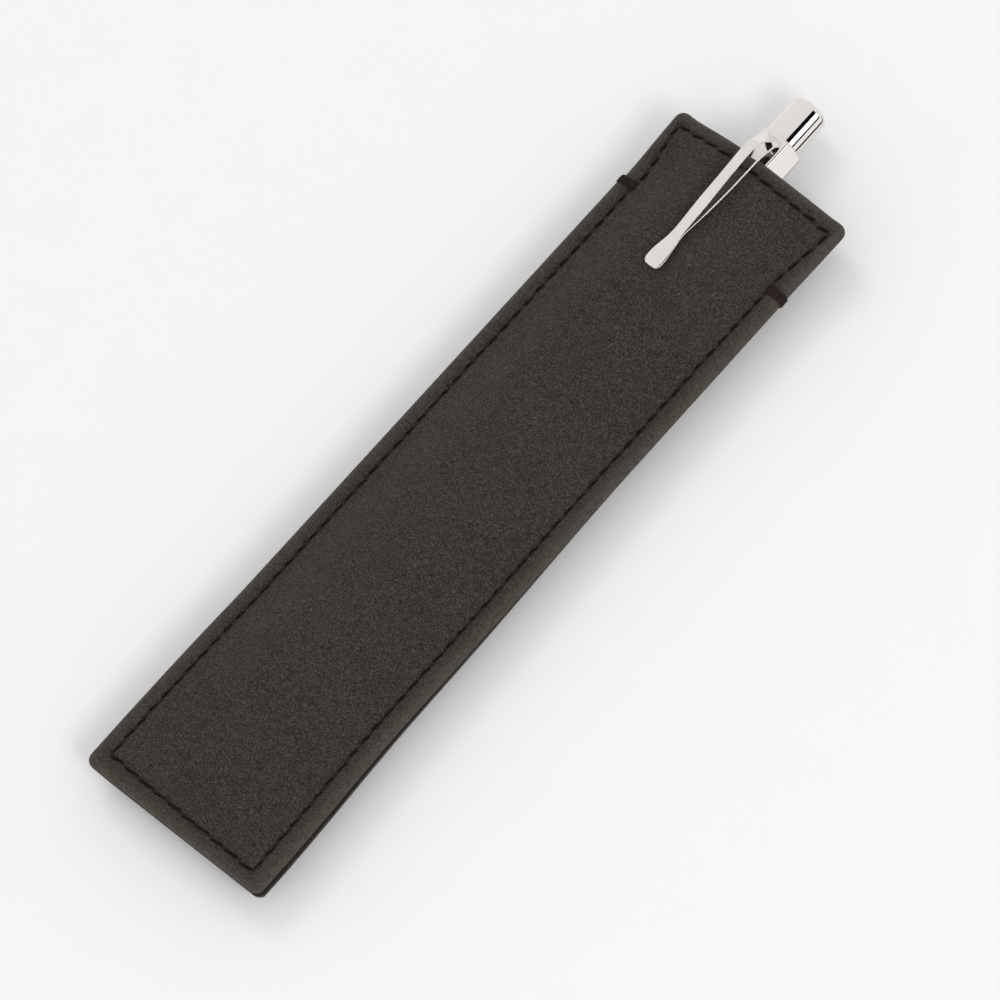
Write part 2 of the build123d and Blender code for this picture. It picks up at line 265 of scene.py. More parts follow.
def mouldedMaterial(name, tint, roughness):
    b = Bench(name)
    grain = b.noise(2400, 3, 0.6)
    dust = b.noise(160, 3, 0.6)
    return b.finish({
        "Base Color": b.blend(dust * 0.5, srgb(*tint), srgb(*(int(c * 0.86) for c in tint))),
        "Roughness": roughness + grain * 0.12,
        "Specular IOR Level": 0.45,
        "Normal": b.bump(grain, 0.15, 0.00004),
    })


nubuck = nubuckMaterial("nubuck")
lining = liningMaterial()
thread = threadMaterial("thread", (9, 7, 7), (27, 23, 21))
tackThread = threadMaterial("tack_thread", (22, 17, 15), (54, 42, 37))
polished = polishedMaterial("polished_metal", (238, 235, 231), 0.05, 0.04)
# a near-black metal for the button well's countersink, wall and floor: painted shade inside the well
painted_well_shade = polishedMaterial("polished_metal_well_shade", (40, 39, 38), 0.35, 0.10)
springSteel = brushedMaterial("spring_steel", (190, 190, 192), 0.25)
refillMetal = brushedMaterial("refill_metal", (200, 200, 203), 0.28)
brass = brushedMaterial("turned_brass", (214, 178, 110), 0.22)
whitePlastic = mouldedMaterial("white_plastic", (228, 226, 220), 0.42)
board = mouldedMaterial("board", (120, 104, 84), 0.8)
print("materials made")


# The case's shape, in millimetres from its bottom edge and its mid plane: the solids' sizes, then how far
# each edge of the sewn case strays from them and over what stretch

case = {
    "width": 39.2, "length": 155.2, "thickness": 2.0, "cornerRadius": 1.8,
    "seamInset": 3.2, "bottomInset": 3.4, "mouthInset": 2.8, "tackSetback": 16.2,
    "domeHalfWidth": 15.0, "domeFlat": 2.4, "domeFullness": 1.6, "domeGap": 4.95,
    "mouthLift": 1.2, "mouthSpread": 0.4, "seamGap": 0.05,
    "backEase": 0.46, "backEaseStart": 8.0, "backEaseLength": 4.0,
    "sidePull": 1.0, "backPull": 0.7, "penX": -2.0, "penNose": 42.7, "pitch": 3.15,
    "mouthRelief": 1.4, "mouthSetback": 0.1, "mouthSkew": 0.5, "mouthOut": 0.28, "mouthReach": 9,
    "rightFlare": 0.7, "leftPull": 0.4, "backOut": 0.45, "edgeAt": 18,
    "leftBow": 0.85, "bowLength": 35, "rightDraw": 0.4, "drawStart": 55, "drawLength": 40,
    "bottomLift": 0.75, "liftStart": -14, "liftLength": 31,
    "frontRound": 1.15, "backRound": 0.6, "seamRound": 0.3, "grooveDepth": 0.34, "grooveWidth": 0.5,
    "seamShade": 0.08,
}
# The panels' surface: the stitch line's painted shade and its holes, the ridge beside it, the pull of the bar
# tacks, slow waves, the step of the turned-in edge, and the lining
surface = {
    "line": 0.3, "holes": 0.38, "ridge": 0.09, "ridgeAt": 1.3, "ridgeWidth": 0.8,
    "squeeze": 0.26, "squeezeLength": 0.9, "wave": 0.10, "waveStart": 5, "turnIn": 0.16,
    "rimWear": 1.5, "liningThickness": 0.5, "liningInset": 1.6, "liningRound": 0.3,
}
leatherLow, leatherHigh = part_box("front_leather")
backLow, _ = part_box("back_leather")
originY = -leatherLow.y / mm
midZ = (leatherHigh.z + backLow.z) / 2 / mm
tackY = case["length"] - case["tackSetback"]


def smoothStep(t):
    t = np.clip(t, 0, 1)
    return t * t * (3 - 2 * t)


def bell(x):
    d = x - case["penX"]
    reach = np.where(d > 0, case["domeHalfWidth"] - case["penX"], case["domeHalfWidth"] + case["penX"])
    share = np.clip((np.abs(d) - case["domeFlat"]) / (reach - case["domeFlat"]), 0, 1)
    return (1 - share ** 2) ** case["domeFullness"]


def tent(x):
    d = x - case["penX"]
    reach = np.where(d > 0, case["domeHalfWidth"] - case["penX"], case["domeHalfWidth"] + case["penX"])
    return np.clip(1 - np.abs(d) / reach, 0, 1)


def rise(y):
    return smoothStep((y - case["bottomInset"]) / (case["penNose"] - case["bottomInset"]))


def mouthShare(y):
    return smoothStep((y - tackY) / (case["length"] - tackY))


def gapAt(x, y, side):
    foot = case["seamGap"] + mouthShare(y) * (case["mouthSpread"] + side * case["mouthLift"])
    ease = 0.0
    if side < 0:
        past = (y - case["length"] + case["backEaseStart"]) / case["backEaseLength"]
        ease = smoothStep(past) * case["backEase"]
    share = 0.5 * mouthShare(y)
    return foot + (case["domeGap"] - ease - foot) * rise(y) * (bell(x) * (1 - share) + tent(x) * share)


def edgeHalf(y, side=1):
    back = (case["backPull"] + case["backOut"]) * smoothStep(y / tackY) - case["backOut"] if side < 0 else 0
    return case["width"] / 2 - case["sidePull"] * rise(y) - back


def seamX(y):
    return edgeHalf(y) - case["seamInset"] + case["mouthRelief"] * mouthShare(y)


def inObject(x, y, z):
    # a place on the case in the object's frame, with the strays of its edges
    toRight, toLeft = smoothStep(x / case["edgeAt"]), smoothStep(-x / case["edgeAt"])
    flare = case["rightFlare"] * mouthShare(y) * toRight
    pull = case["leftPull"] * smoothStep((y - tackY - 0.2) / 1.2) * toLeft
    nearMouth = smoothStep((y - case["length"] + case["mouthReach"]) / case["mouthReach"])
    setback = (case["mouthSetback"] * bell(x) - case["mouthSkew"] * toRight - case["mouthOut"]) * nearMouth
    bow = case["leftBow"] * smoothStep(y / case["bowLength"]) * toLeft
    draw = case["rightDraw"] * smoothStep((y - case["drawStart"]) / case["drawLength"]) * toRight
    along = np.clip((x - case["liftStart"]) / case["liftLength"], 0, 1)
    lift = case["bottomLift"] * along * (1 - smoothStep(y / case["bottomInset"]))
    across = x + flare + pull - bow - draw
    return np.stack([across * mm, (y - setback + lift - originY) * mm, (z + midZ) * mm], axis=-1)


def rimDistance(x, y, side, inset=0.0):
    radius = case["cornerRadius"] - inset
    qx = np.abs(x) - (edgeHalf(y, side) - inset - radius)
    qy = np.maximum(inset + radius - y, y - (case["length"] - inset - radius))
    outside = np.hypot(np.maximum(qx, 0), np.maximum(qy, 0))
    return radius - outside - np.minimum(np.maximum(qx, qy), 0)


def stitchLines(y):
    # x of the side stitch lines, and y of the two end rows
    return seamX(y), case["bottomInset"], case["length"] - case["mouthInset"]


def grooveAt(x, y):
    # distance to the nearest stitch line and the place along it
    sideX, lowY, highY = stitchLines(y)
    beyond = np.maximum(np.maximum(lowY - y, y - highY), 0)
    toSide = np.hypot(np.abs(x) - sideX, beyond)
    toLow = np.hypot(y - lowY, np.maximum(np.abs(x) - seamX(0), 0))
    toHigh = np.hypot(y - highY, np.maximum(np.abs(x) - seamX(case["length"]), 0))
    nearest = np.minimum(np.minimum(toSide, toLow), toHigh)
    along = np.where(toSide <= nearest, y, x)
    return nearest, along


waveSeeds = [(rng.uniform(0.05, 0.32), rng.uniform(0, 2 * math.pi), rng.uniform(0, 2 * math.pi))
             for _ in range(9)]


def waviness(x, y):
    total = np.zeros_like(x, float)
    for size, turn, phase in waveSeeds:
        total += np.sin((x * math.cos(turn) + y * math.sin(turn)) * size * 1.6 + phase)
    return total / len(waveSeeds)


def spaced(stretches):
    # stretches of (start, end, step) joined to one list
    marks = []
    for start, end, step in stretches:
        marks += list(np.linspace(start, end, max(2, round((end - start) / step) + 1))[:-1])
    return np.array(marks + [stretches[-1][1]])


def panelGrid(side, inset, fine=1.0):
    length, edge = case["length"] - inset, 7.0
    ys = spaced([(inset, inset + 0.02, 0.02), (inset + 0.02, inset + 1.2, 0.1 * fine),
                 (inset + 1.2, inset + edge, 0.32 * fine),
                 (inset + edge, length - edge, 0.62 * fine), (length - edge, length - 1.2, 0.32 * fine),
                 (length - 1.2, length - 0.02, 0.1 * fine), (length - 0.02, length, 0.02)])
    share = spaced([(-1, -0.999, 0.001), (-0.999, -0.94, 0.006 * fine), (-0.94, -0.72, 0.0145 * fine),
                    (-0.72, 0.72, 0.048 * fine), (0.72, 0.94, 0.0145 * fine),
                    (0.94, 0.999, 0.006 * fine), (0.999, 1, 0.001)])
    radius = case["cornerRadius"] - inset
    nearEnd = np.minimum(ys - inset, length - ys)
    chord = np.sqrt(np.maximum(radius ** 2 - (radius - nearEnd) ** 2, 0))
    cut = np.where(nearEnd < radius, radius - chord, 0)
    half = edgeHalf(ys, side) - inset - cut
    return half[:, None] * share[None, :], np.repeat(ys[:, None], len(share), axis=1)


def bullnose(d, radius, height):
    # how far a rounded edge drops at distance d from the rim
    turn = np.clip(d / radius, 0, 1)
    return height * (1 - np.sqrt(np.clip(1 - (1 - turn) ** 2, 0, 1)))


def panelPiece(name, side, material, thickness, inset, leather):
    # a closed sheet over the lining's face, with rounded edges; leather also has the sunk stitch line, with
    # painted shade in it
    x, y = panelGrid(side, inset, 1.0 if leather else 1.9)
    d = np.maximum(rimDistance(x, y, side, inset), 0)
    gap = gapAt(x, y, side)
    low = case["seamRound"] if leather else thickness / 2
    outer = case["frontRound"] if side > 0 else case["backRound"]
    top = gap + thickness - bullnose(d, outer if leather else surface["liningRound"], thickness - low)
    bottom = gap + bullnose(d, low, low)
    painted_groove_shade = np.zeros_like(x)
    if leather:
        nearest, along = grooveAt(x, y)
        valley = np.exp(-(nearest / case["grooveWidth"]) ** 2)
        line = np.exp(-(nearest / surface["line"]) ** 2)
        holes = 1 - surface["holes"] * (1 - np.cos(2 * math.pi * along / case["pitch"]) ** 3)
        inward = smoothStep(d / 1.4)
        top -= case["grooveDepth"] * valley * holes * inward
        beside = (nearest - surface["ridgeAt"]) / surface["ridgeWidth"]
        top += surface["ridge"] * np.exp(-beside ** 2) * inward
        reach = smoothStep((np.abs(x) - seamX(y) + 0.8) / 0.8)
        squeeze = np.exp(-((y - tackY) / surface["squeezeLength"]) ** 2) * reach
        top -= surface["squeeze"] * squeeze
        if side > 0:
            top += surface["wave"] * waviness(x, y) * smoothStep(d / surface["waveStart"])
        bottom += surface["turnIn"] * smoothStep((d - 1.5) / 0.8)
        # painted shade mask along the sunk stitch line, deepest at the holes, and in the bar tack creases
        painted_groove_shade = line * (0.55 + 0.45 * holes) * inward + 0.5 * squeeze
    rows, columns = x.shape
    inner = np.zeros((rows, columns), bool)
    inner[1:-1, 1:-1] = True
    top[~inner] = bottom[~inner] = (gap + low)[~inner]
    index = np.arange(rows * columns).reshape(rows, columns)
    under = index.copy()
    under[inner] = rows * columns + np.arange(inner.sum())
    points = np.vstack([inObject(x, y, side * top).reshape(-1, 3), inObject(x, y, side * bottom)[inner]])
    faces = []
    for r in range(rows - 1):
        for c in range(columns - 1):
            faces.append((index[r, c], index[r, c + 1], index[r + 1, c + 1], index[r + 1, c]))
            faces.append((under[r, c], under[r + 1, c], under[r + 1, c + 1], under[r, c + 1]))
    if side < 0:
        faces = [tuple(reversed(f)) for f in faces]
    piece = meshPiece(name, points, [tuple(int(i) for i in f) for f in faces], material)
    rim = np.exp(-(d / surface["rimWear"]) ** 2)
    # painted shade: dark where the face comes down to the seam between the panels, and all over the underside
    painted_seam_shade = np.exp(-np.maximum(top - gap - low, 0) / case["seamShade"])
    marks = {"rim": np.concatenate([rim.ravel(), rim[inner]]),
             "painted_groove_shade": np.concatenate([painted_groove_shade.ravel(), np.zeros(inner.sum())]),
             "painted_seam_shade": np.concatenate([painted_seam_shade.ravel(), np.ones(inner.sum())])}
    for label, values in marks.items():
        layer = piece.data.attributes.new(label, "FLOAT", "POINT")
        layer.data.foreach_set("value", values.astype(np.float32))
    return piece


for side, name in ((1, "front"), (-1, "back")):
    panel = panelPiece(f"{name}_panel", side, nubuck, case["thickness"], 0, True)
    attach(panel, "case")
    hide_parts(f"{name}_leather")
    cloth = panelPiece(f"{name}_lining_sheet", side, lining,
                       surface["liningThickness"], surface["liningInset"], False)
    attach(cloth, "case")
    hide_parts(f"{name}_lining")
print("panels made")


# Stitches: one thread segment set out along each row by geometry nodes

stitch = {
    "length": 2.5, "endRowLength": 3.3, "radius": 0.21, "rise": 0.12, "dive": 0.36,
    "slant": 12.0, "sideLean": -0.7, "endLean": 1.2, "seed": 4,
    "sink": 0.20, "sideStray": 0.05, "endStray": 0.06,
}


def stitchMesh(length):
    rings, sides = 11, 8
    points = []
    for s in np.linspace(-1, 1, rings):
        height = stitch["rise"] - (stitch["dive"] + stitch["rise"]) * abs(s) ** 5
        taper = 1 - 0.45 * abs(s) ** 4
        for k in range(sides):
            t = 2 * math.pi * k / sides
            ply = 1 + 0.16 * math.cos(2 * t + s * 5.5)
            r = stitch["radius"] * taper * ply
            points.append((s * length / 2 * mm, r * math.cos(t) * mm, (height + 0.8 * r * math.sin(t)) * mm))
    faces = gridFaces(rings, sides, closed=True)
    faces.append(tuple(range(sides)))
    faces.append(tuple(reversed(range((rings - 1) * sides, rings * sides))))
    faces = [tuple(reversed(f)) for f in faces]
    piece = meshPiece("stitch_shape", points, faces, thread)
    fixNormals(piece)
    bpy.context.scene.collection.objects.unlink(piece)
    return piece


def surfaceAt(x, y, side):
    x, y = np.array([float(x)]), np.array([float(y)])
    return float((gapAt(x, y, side) + case["thickness"])[0])


def rowSpots(side, sideLow, sideHigh, endY, endHalf):
    # (x, y, aheadX, aheadY, long, side) for the stitches of two side rows and one end row
    spots = []
    count = round((sideHigh - sideLow) / case["pitch"])
    for k in range(count):
        y = sideLow + (k + 0.5) * (sideHigh - sideLow) / count
        half = float(seamX(y))
        spots += [(-half, y, 0, 1, 0), (half, y, 0, 1, 0)]
    count = round(2 * endHalf / case["pitch"])
    for k in range(count):
        spots.append((-endHalf + (k + 0.5) * 2 * endHalf / count, endY, 1, 0, 1))
    return [(*spot, side) for spot in spots]


def stitchTree(shapes):
    tree = bpy.data.node_groups.new("stitch_rows", "GeometryNodeTree")
    face = tree.interface
    face.new_socket("Geometry", in_out="INPUT", socket_type="NodeSocketGeometry")
    slant = face.new_socket("Slant", in_out="INPUT", socket_type="NodeSocketFloat")
    seed = face.new_socket("Seed", in_out="INPUT", socket_type="NodeSocketInt")
    face.new_socket("Geometry", in_out="OUTPUT", socket_type="NodeSocketGeometry")

    def add(kind, settings=None, inputs=None):
        made = tree.nodes.new(kind)
        for key, value in (settings or {}).items():
            setattr(made, key, value)
        for key, value in (inputs or {}).items():
            if isinstance(value, bpy.types.NodeSocket):
                tree.links.new(value, made.inputs[key])
            else:
                made.inputs[key].default_value = value
        return made

    given = add("NodeGroupInput")
    ahead = add("GeometryNodeInputNamedAttribute", {"data_type": "FLOAT_VECTOR"}, {"Name": "ahead"})
    up = add("GeometryNodeInputNamedAttribute", {"data_type": "FLOAT_VECTOR"}, {"Name": "up"})
    long = add("GeometryNodeInputNamedAttribute", {"data_type": "INT"}, {"Name": "long"})
    flat = add("FunctionNodeAlignRotationToVector", {"axis": "Z"}, {"Vector": up.outputs[0]})
    lined = add("FunctionNodeAlignRotationToVector", {"axis": "X", "pivot_axis": "Z"},
                {"Rotation": flat.outputs[0], "Vector": ahead.outputs[0]})
    sway = add("FunctionNodeRandomValue", {"data_type": "FLOAT"},
               {2: -0.06, 3: 0.06, 8: given.outputs["Seed"]})
    lean = add("GeometryNodeInputNamedAttribute", {"data_type": "FLOAT"}, {"Name": "lean"})
    tilt = add("ShaderNodeMath", {"operation": "MULTIPLY_ADD"},
               {0: given.outputs["Slant"], 1: lean.outputs[0], 2: sway.outputs[1]})
    turn = add("ShaderNodeCombineXYZ", {}, {"Z": tilt.outputs[0]})
    spin = add("FunctionNodeEulerToRotation", {}, {0: turn.outputs[0]})
    final = add("FunctionNodeRotateRotation", {"rotation_space": "LOCAL"},
                {0: lined.outputs[0], 1: spin.outputs[0]})
    size = add("FunctionNodeRandomValue", {"data_type": "FLOAT_VECTOR"},
               {0: (0.90, 0.85, 0.9), 1: (1.06, 1.12, 1.1), 8: given.outputs["Seed"]})
    sources = [add("GeometryNodeObjectInfo", {}, {"Object": shape, "As Instance": False}) for shape in shapes]
    both = add("GeometryNodeGeometryToInstance")
    for source in reversed(sources):
        tree.links.new(source.outputs["Geometry"], both.inputs[0])
    spread = add("GeometryNodeInstanceOnPoints", {}, {
        "Points": given.outputs[0], "Instance": both.outputs[0], "Pick Instance": True,
        "Instance Index": long.outputs[0], "Rotation": final.outputs[0], "Scale": size.outputs[0]})
    real = add("GeometryNodeRealizeInstances", {}, {0: spread.outputs[0]})
    coat = add("GeometryNodeSetMaterial", {}, {"Geometry": real.outputs[0], "Material": thread})
    add("NodeGroupOutput", {}, {0: coat.outputs[0]})
    return tree, slant.identifier, seed.identifier


stitchShapes = [stitchMesh(stitch["length"]), stitchMesh(stitch["endRowLength"])]
stitchGroup, slantInput, seedInput = stitchTree(stitchShapes)


def slopeAt(x, y, alongX, alongY, side):
    # the leather's change in height over 1 mm
    return (surfaceAt(x + alongX * 0.5, y + alongY * 0.5, side)
            - surfaceAt(x - alongX * 0.5, y - alongY * 0.5, side))


def stitchPiece(name, spots, node):
    places, aheads, ups, longs, leans = [], [], [], [], []
    for x, y, ax, ay, isLong, side in spots:
        x += rng.normal(0, stitch["sideStray"]) * (1 - isLong)
        y += rng.normal(0, stitch["endStray"]) * isLong
        level = surfaceAt(x, y, side) - stitch["sink"]
        ahead = Vector((ax, ay, side * slopeAt(x, y, ax, ay, side))).normalized()
        across = Vector((ay, ax, side * slopeAt(x, y, ay, ax, side))).normalized()
        up = ahead.cross(across)
        up = up if up.z * side > 0 else -up
        places.append(inObject(x, y, side * level))
        aheads += list(ahead)
        ups += list(up)
        longs.append(isLong)
        leans.append(stitch["endLean"] if isLong else stitch["sideLean"])
    mesh = bpy.data.meshes.new(name)
    mesh.from_pydata([tuple(p) for p in places], [], [])
    for label, kind, values, field in (("ahead", "FLOAT_VECTOR", aheads, "vector"),
                                       ("up", "FLOAT_VECTOR", ups, "vector"), ("long", "INT", longs, "value"),
                                       ("lean", "FLOAT", leans, "value")):
        mesh.attributes.new(label, kind, "POINT").data.foreach_set(field, values)
    base = bpy.data.objects.new(name, mesh)
    bpy.context.scene.collection.objects.link(base)
    rows = base.modifiers.new("rows", "NODES")
    rows.node_group = stitchGroup
    rows[slantInput] = math.radians(stitch["slant"])
    rows[seedInput] = stitch["seed"]
    bpy.context.view_layer.update()
    done = bpy.data.meshes.new_from_object(base.evaluated_get(bpy.context.evaluated_depsgraph_get()))
    base.modifiers.remove(rows)
    base.data = done
    done.polygons.foreach_set("use_smooth", [True] * len(done.polygons))
    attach(base, "case")
    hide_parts(node)


cornerX, mouthX = float(seamX(0)), float(seamX(case["length"]))
seamEnd = tackY - 1.2
seamSpots = rowSpots(1, case["bottomInset"], seamEnd, case["bottomInset"], cornerX)
seamSpots += rowSpots(-1, case["bottomInset"], seamEnd, case["bottomInset"], cornerX)
mouthRow = (tackY + 1.2, case["length"] - case["mouthInset"], case["length"] - case["mouthInset"], mouthX)
stitchPiece("seam_thread", seamSpots, "seam_stitches")
stitchPiece("front_mouth_thread", rowSpots(1, *mouthRow), "front_mouth_stitches")
stitchPiece("back_mouth_thread", rowSpots(-1, *mouthRow), "back_mouth_stitches")
print("stitches made")


# Bar tacks: turns of thread wound over the side edge

tack = {"turns": 7, "width": 1.45, "radius": 0.17, "reach": 0.15, "points": 44}


def tackPiece(side, name):
    parts = []
    for k in range(tack["turns"]):
        y = tackY + (k / (tack["turns"] - 1) - 0.5) * tack["width"]
        lean = rng.normal(0, 0.10)
        edge = float(edgeHalf(np.array(y)))
        inner = edge - case["seamInset"] - tack["reach"] + rng.normal(0, 0.12)
        top = case["seamGap"] + case["thickness"] + 0.02
        path = [(inner, top - 0.35), (inner + 0.15, top - 0.02)]
        path += [(edge - 1.6, top + 0.02), (edge - 0.75, top - 0.10)]
        for angle in np.linspace(70, -70, 9):
            a = math.radians(angle)
            path.append((edge - 0.72 + 0.80 * math.cos(a), (top - 0.02) * math.sin(a)))
        path += [(edge - 0.75, -top + 0.10), (edge - 1.6, -top - 0.02)]
        path += [(inner + 0.15, -top + 0.02), (inner, -top + 0.35)]
        path = [(x - case["backPull"] * float(smoothStep(-h / 1.5)) * (x > edge - 1), h) for x, h in path]
        marks = np.linspace(0, len(path) - 1, tack["points"])
        xs, hs = (np.interp(marks, range(len(path)), values) for values in zip(*path))
        line = []
        for i, (x, h) in enumerate(zip(xs, hs)):
            sway = lean * math.sin(i / tack["points"] * math.pi) + 0.03 * math.sin(i * 0.9 + k)
            line.append(inObject(side * x, y + sway, h))
        parts.append(tube(line, tack["radius"] * mm * rng.uniform(0.9, 1.1), 7))
    piece = meshPiece(f"tack_{name}", *joined(parts), tackThread)
    fixNormals(piece)
    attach(piece, "case")
    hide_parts(f"bar_tack_{name}")


tackPiece(-1, "left")
tackPiece(1, "right")
print("bar tacks made")


# Pen: places are lengths from the nose and heights above its axis, in millimetres

barrelLow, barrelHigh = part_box("pen_barrel")
buttonLow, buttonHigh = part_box("push_button")
noseY = barrelLow.y / mm
pen = {
    "axisX": (barrelLow.x + barrelHigh.x) / 2 / mm,
    "axisZ": (barrelLow.z + barrelHigh.z) / 2 / mm,
    "barrelEnd": (barrelHigh.y - barrelLow.y) / mm,
    "length": (buttonHigh.y - barrelLow.y) / mm,
    "half": (barrelHigh.z - barrelLow.z) / 2 / mm,
    "edgeRadius": 0.8, "shoulder": 0.9, "shoulderDrop": 0.15,
    "noseLength": 17.0, "noseRadius": 1.8, "noseBelly": 3.8, "tipBore": 1.3, "tipBoreDepth": 5.0,
    "well": 3.75, "wellMouth": 4.02, "wellDepth": 7.5,
    "buttonRadius": (buttonHigh.x - buttonLow.x) / 2 / mm, "buttonEdge": 1.3, "buttonCrown": 0.25,
    "buttonStart": (buttonLow.y - barrelLow.y) / mm,
}


def onPen(x, length, height):
    return ((pen["axisX"] + x) * mm, (noseY + length) * mm, (pen["axisZ"] + height) * mm)


def arcRadius(length):
    # turned nose: circle through three points, as radius over length
    a, b = (0, pen["noseRadius"]), (pen["noseLength"] / 2, pen["noseBelly"])
    c = (pen["noseLength"], pen["half"] + 1)
    d = 2 * (a[0] * (b[1] - c[1]) + b[0] * (c[1] - a[1]) + c[0] * (a[1] - b[1]))
    sq = [p[0] ** 2 + p[1] ** 2 for p in (a, b, c)]
    cx = (sq[0] * (b[1] - c[1]) + sq[1] * (c[1] - a[1]) + sq[2] * (a[1] - b[1])) / d
    cy = (sq[0] * (c[0] - b[0]) + sq[1] * (a[0] - c[0]) + sq[2] * (b[0] - a[0])) / d
    r = math.hypot(a[0] - cx, a[1] - cy)
    return cy + math.sqrt(max(r * r - (length - cx) ** 2, 0))


def sixSided(t):
    # radius of the rounded hexagon at angle t, flats at top and bottom
    local = (t - math.pi / 2 + math.pi / 6) % (math.pi / 3) - math.pi / 6
    flat = pen["half"] / math.cos(local)
    r = pen["edgeRadius"]
    centre = (pen["half"] - r) / math.cos(math.pi / 6)
    away = abs(local) - math.pi / 6
    limit = centre * math.cos(away) + math.sqrt(max(r * r - (centre * math.sin(away)) ** 2, 0))
    touch = math.atan2((pen["half"] - r) * math.tan(math.pi / 6), pen["half"])
    return limit if abs(local) > touch else flat


def barrelPiece():
    turns = 216
    end = pen["barrelEnd"]
    bodyStart, bodyEnd = pen["noseLength"] + 0.5, end - pen["shoulder"] - 0.3
    lengths = spaced([(0, bodyStart, 0.25), (bodyStart, bodyEnd, 6.0), (bodyEnd, end, 0.04)])
    points = []
    angles = [2 * math.pi * (k + 0.5) / turns for k in range(turns)]
    hexagon = [sixSided(t) for t in angles]
    shoulderTop = pen["half"] - pen["shoulderDrop"]
    for length in lengths:
        env = arcRadius(length) if length < pen["noseLength"] else pen["half"] + 1
        if length > end - pen["shoulder"]:
            share = (length - end + pen["shoulder"]) / pen["shoulder"]
            env = pen["half"] + 1 + (shoulderTop - pen["half"] - 1) * share
        for t, h in zip(angles, hexagon):
            r = min(h, env)
            points.append(onPen(r * math.cos(t), length, r * math.sin(t)))
    ends = [(shoulderTop - 0.05, end + 0.02), (pen["wellMouth"], end), (pen["well"], end - 0.55)]
    inside = ends + [(pen["well"], end - pen["wellDepth"]), (0.6, end - pen["wellDepth"])]
    for r, length in inside:
        points += [onPen(r * math.cos(t), length, r * math.sin(t)) for t in angles]
    nose = [(pen["noseRadius"] - 0.08, -0.04), (pen["tipBore"] + 0.06, -0.04), (pen["tipBore"], 0.05)]
    nose += [(pen["tipBore"], pen["tipBoreDepth"]), (0.3, pen["tipBoreDepth"])]
    front = []
    for r, length in reversed(nose):
        front += [onPen(r * math.cos(t), length, r * math.sin(t)) for t in angles]
    points = front + points
    rings = len(nose) + len(lengths) + len(inside)
    faces = gridFaces(rings, turns, closed=True)
    total = rings * turns
    faces.append(tuple(range(turns)))
    faces.append(tuple(range(total - turns, total)))
    piece = meshPiece("barrel_shell", points, faces, polished)
    piece.data.materials.append(painted_well_shade)
    # the well's countersink, wall and floor get the near-black metal: painted shade
    wellStart = (rings - len(inside) + 1) * turns
    for face in piece.data.polygons:
        face.material_index = 1 if min(face.vertices) >= wellStart else 0
    fixNormals(piece)
    piece.data.set_sharp_from_angle(angle=math.radians(24))
    return piece


def buttonPiece():
    turns = 128
    r, end, edge = pen["buttonRadius"], pen["length"], pen["buttonEdge"]
    profile = [(0.02, pen["buttonStart"]), (r - 0.25, pen["buttonStart"]), (r, pen["buttonStart"] + 0.2)]
    profile += [(r, s) for s in np.linspace(pen["buttonStart"] + 0.5, end - pen["buttonCrown"] - edge, 10)]
    for a in np.linspace(0, 90, 15)[1:]:
        t = math.radians(a)
        profile.append((r - edge + edge * math.cos(t), end - pen["buttonCrown"] - edge + edge * math.sin(t)))
    flatR = r - edge
    for share in np.linspace(1, 0.02, 12)[1:]:
        profile.append((flatR * share, end - pen["buttonCrown"] * share ** 2))
    points = []
    for radius, length in profile:
        for k in range(turns):
            t = 2 * math.pi * k / turns
            points.append(onPen(radius * math.cos(t), length, radius * math.sin(t)))
    faces = gridFaces(len(profile), turns, closed=True)
    faces.append(tuple(range(turns)))
    faces.append(tuple(range(len(points) - turns, len(points))))
    piece = meshPiece("button_cap", points, faces, polished)
    fixNormals(piece)
    piece.data.set_sharp_from_angle(angle=math.radians(35))
    return piece


clipLow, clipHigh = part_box("clip")
clip = {
    "tip": (clipLow.y / mm) - noseY, "rear": (clipHigh.y / mm) - noseY, "bend": pen["barrelEnd"] - 5.6,
    "bendHeight": (clipHigh.z / mm) - pen["axisZ"], "tipHeight": 8.3, "tipLow": 7.6, "flare": 6.0,
    "rootHeight": 4.45, "softness": 1.0, "sheet": 0.42, "corner": 0.2, "crown": 0.05, "bendLift": 0.35,
    "narrow": 0.22, "spread": 0.42, "spreadFrom": 0.4, "spreadOver": 2.6, "bead": 0.21, "beadOut": 0.16,
    "width": 2.3, "waist": 1.9, "tipWidth": 3.2, "rootWidth": 3.1,
    "bow": 0.15, "tipDrop": 0.72, "swell": 0.22, "swellAt": 2.6, "swellLength": 1.6,
}


def clipTop(length):
    # height of the strap's top: a rise, a round bend, and the wall down to the barrel
    start, bend, rear = clip["tip"] + clip["flare"], clip["bend"], clip["rear"]
    share = np.clip((length - start) / (bend - start), 0, 1.4)
    peak = clip["bendHeight"] + clip["bendLift"]  # where the straight strap and wall would meet
    bowed = (1 + clip["bow"]) * share - clip["bow"] * share ** 2
    strap = clip["tipHeight"] + (peak - clip["tipHeight"]) * bowed
    fall = (clip["rootHeight"] + clip["sheet"] - peak) / (rear - bend)
    wall = peak + fall * (length - bend)
    soft = clip["softness"]
    height = -soft * np.log(np.exp(-strap / soft) + np.exp(-wall / soft))
    toTip = np.clip(1 - (length - clip["tip"]) / 1.0, 0, 1)
    fromSwell = (length - clip["tip"] - clip["swellAt"]) / clip["swellLength"]
    lift = clip["swell"] * np.exp(-fromSwell ** 2)
    return height + lift - clip["tipDrop"] * toTip ** 2


def clipUnder(length):
    # height of the flanges' lower edge
    tip, rear = clip["tip"], clip["rear"]
    places = [tip, tip + clip["flare"], clip["bend"] - 1.4, rear - 1.8, rear - 1.1]
    heights = [clip["tipLow"], clip["tipLow"] + 0.35, clip["tipLow"] - 0.5, 5.9, clip["rootHeight"]]
    around = length + np.linspace(-0.5, 0.5, 9)
    return float(np.mean(np.interp(around, places, heights)))


